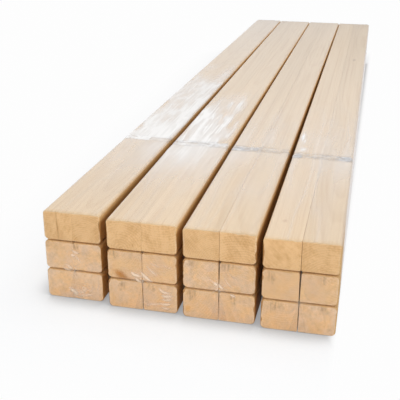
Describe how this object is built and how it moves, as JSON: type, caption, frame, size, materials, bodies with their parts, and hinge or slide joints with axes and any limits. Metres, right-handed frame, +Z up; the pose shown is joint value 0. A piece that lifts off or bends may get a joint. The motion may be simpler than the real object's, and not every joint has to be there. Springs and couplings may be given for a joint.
{
  "type": "bundle of pine studs",
  "caption": "Planed pine studs with eased edges, stacked in packs that lie side by side, each pack wrapped in clear plastic film with a lapped seam and gathered ends",
  "frame": {"origin": "middle of the rectangle of floor that the bundle covers, at floor level", "axes": "+X across the packs from the narrow pack 1 to pack 4, +Y along the studs from the near end to the far end, +Z up"},
  "size_m": [0.4158, 1.8188, 0.1364],
  "materials": {
    "pine": "planed and unfinished, with pale faces and darker sawn ends",
    "film": "clear glossy film with fine wrinkles"
  },
  "bodies": {
    "root": {"pack_1_stud_bottom_left": "pine", "pack_1_stud_bottom_right": "pine", "pack_1_stud_middle_left": "pine", "pack_1_stud_middle_right": "pine", "pack_1_stud_top_left": "pine", "pack_1_stud_top_right": "pine", "pack_2_stud_bottom_left": "pine", "pack_2_stud_bottom_right": "pine", "pack_2_stud_middle_left": "pine", "pack_2_stud_middle_right": "pine", "pack_2_stud_top_left": "pine", "pack_2_stud_top_right": "pine", "pack_3_stud_bottom_left": "pine", "pack_3_stud_bottom_right": "pine", "pack_3_stud_middle_left": "pine", "pack_3_stud_middle_right": "pine", "pack_3_stud_top_left": "pine", "pack_3_stud_top_right": "pine", "pack_4_stud_bottom_left": "pine", "pack_4_stud_bottom_right": "pine", "pack_4_stud_middle_left": "pine", "pack_4_stud_middle_right": "pine", "pack_4_stud_top_left": "pine", "pack_4_stud_top_right": "pine", "pack_1_wrap": "film", "pack_2_wrap": "film", "pack_3_wrap": "film", "pack_4_wrap": "film"}
  },
  "joints": []
}
